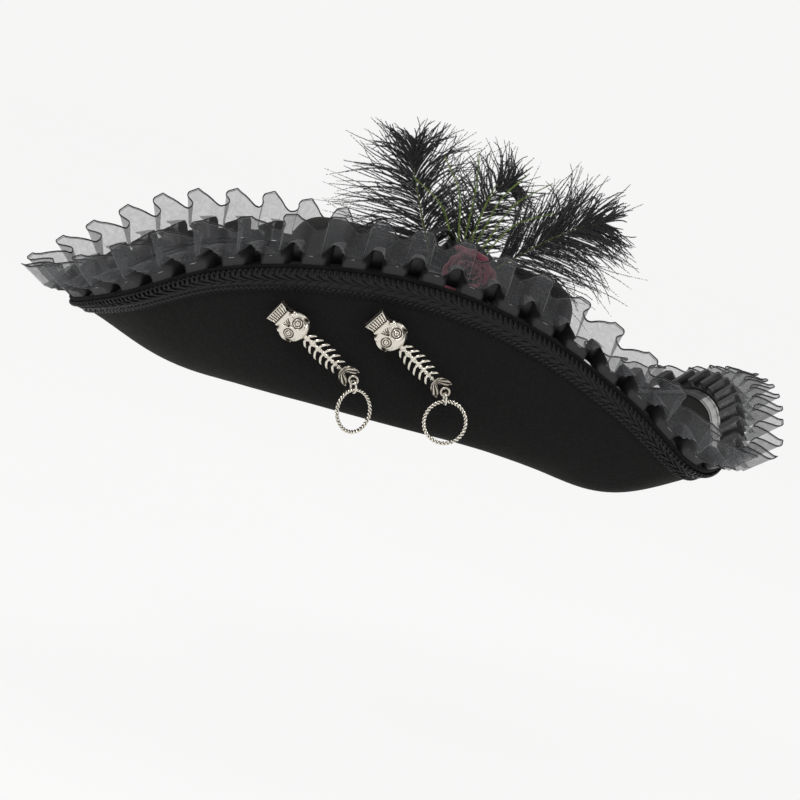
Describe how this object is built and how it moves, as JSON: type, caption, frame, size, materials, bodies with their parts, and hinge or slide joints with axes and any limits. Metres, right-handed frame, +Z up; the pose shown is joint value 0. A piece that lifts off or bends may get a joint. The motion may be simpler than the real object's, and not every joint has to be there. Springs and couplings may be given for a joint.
{
  "type": "feathered tricorn pirate hat",
  "caption": "Black felt tricorn pirate hat with a braided edge, satin and organza ruffles, ostrich plumes and two silver charms with hanging rings.",
  "frame": {"origin": "centre of the head opening, in the plane of the sweatband's lower rim, where the head holds the hat", "axes": "+Z up through the crown, -Y to the hat's front point, +X to the wearer's left"},
  "size_m": [0.3415, 0.5125, 0.1918],
  "materials": {
    "felt": "black wool felt, matt, short fuzz",
    "grosgrain": "black ribbed grosgrain ribbon",
    "satin": "black polyester satin ribbon, soft gloss",
    "organza": "sheer black organza ribbon with corded edges",
    "gimp": "black twisted cord gimp braid",
    "tape": "pale woven header tape, black machine stitches",
    "wire": "millinery wire wrapped in black cotton",
    "ostrich": "dyed black ostrich feather",
    "herl": "olive green peacock herl, faint gloss",
    "rose": "dusky red gathered fabric",
    "silver": "antique silver plate on cast zinc, dark recesses"
  },
  "bodies": {
    "hat": {"felt_crown": "felt", "felt_brim": "felt", "sweatband": "grosgrain", "crown_band": "satin", "gimp_braid": "gimp", "header_tape": "tape", "brim_wire": "wire", "satin_ruffle": "satin", "organza_ruffle": "organza", "cockade_pad": "felt", "ribbon_rosette": "satin", "fabric_rose": "rose", "plume_left": "ostrich", "plume_middle": "ostrich", "plume_right": "ostrich", "herl_1": "herl", "herl_2": "herl", "herl_3": "herl", "herl_4": "herl", "herl_5": "herl", "herl_6": "herl", "herl_7": "herl", "charm_1_fishbone": "silver", "charm_2_fishbone": "silver"},
    "charm_1_link": {"charm_1_jump_ring": "silver"},
    "charm_1_ring": {"charm_1_twist_ring": "silver"},
    "charm_2_link": {"charm_2_jump_ring": "silver"},
    "charm_2_ring": {"charm_2_twist_ring": "silver"}
  },
  "joints": [
    {"name": "charm_1_swing", "type": "hinge", "parent": "hat", "child": "charm_1_link", "pos_m": [0.1145, -0.05649, 0.01908], "axis": [0.9659, 0.2488, 0.0713], "range_deg": [-30, 14]},
    {"name": "charm_1_ring_lift", "type": "hinge", "parent": "charm_1_link", "child": "charm_1_ring", "pos_m": [0.1145, -0.05486, 0.01341], "axis": [0.5, -0.8325, -0.2387], "range_deg": [-4, 75]},
    {"name": "charm_2_swing", "type": "hinge", "parent": "hat", "child": "charm_2_link", "pos_m": [0.12229, 0.00012, 0.02726], "axis": [1, 0, 0], "range_deg": [-18, 55]},
    {"name": "charm_2_ring_lift", "type": "hinge", "parent": "charm_2_link", "child": "charm_2_ring", "pos_m": [0.12229, 0.00174, 0.02159], "axis": [0, -0.9613, -0.2756], "range_deg": [-6, 75]}
  ]
}
